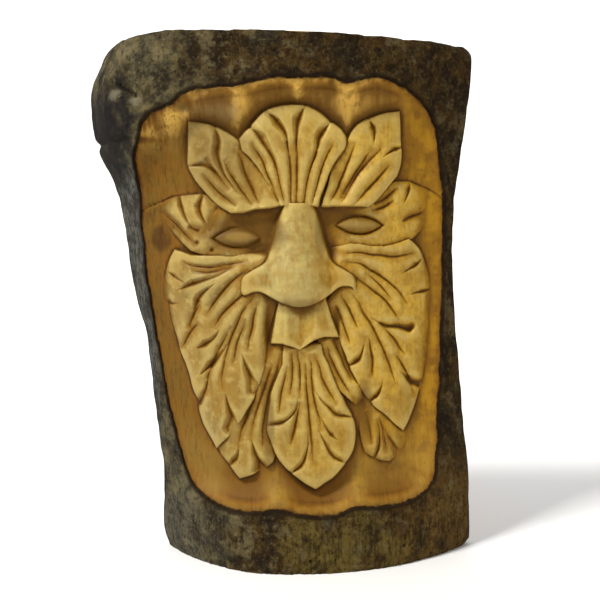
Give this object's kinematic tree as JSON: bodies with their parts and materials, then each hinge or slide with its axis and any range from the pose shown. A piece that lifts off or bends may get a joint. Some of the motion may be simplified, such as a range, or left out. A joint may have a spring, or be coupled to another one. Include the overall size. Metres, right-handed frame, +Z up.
{
  "type": "carved wall plaque",
  "caption": "Bark-edged log slab with a flat back, its rounded front carved in relief with a face made of leaves; it stands on its sawn end or hangs flat on a wall.",
  "frame": {"origin": "centre of the slab's bounding box across and front to back, at the level of its sawn lower end", "axes": "+Z up along the log, -Y out of the carved front, +Y out of the flat back, +X to the right as one looks at the carving"},
  "size_m": [0.38, 0.1054, 0.5],
  "materials": {
    "wood": "carved, stained and waxed, with raw bark round it"
  },
  "bodies": {
    "root": {"carved_log": "wood"}
  },
  "joints": []
}
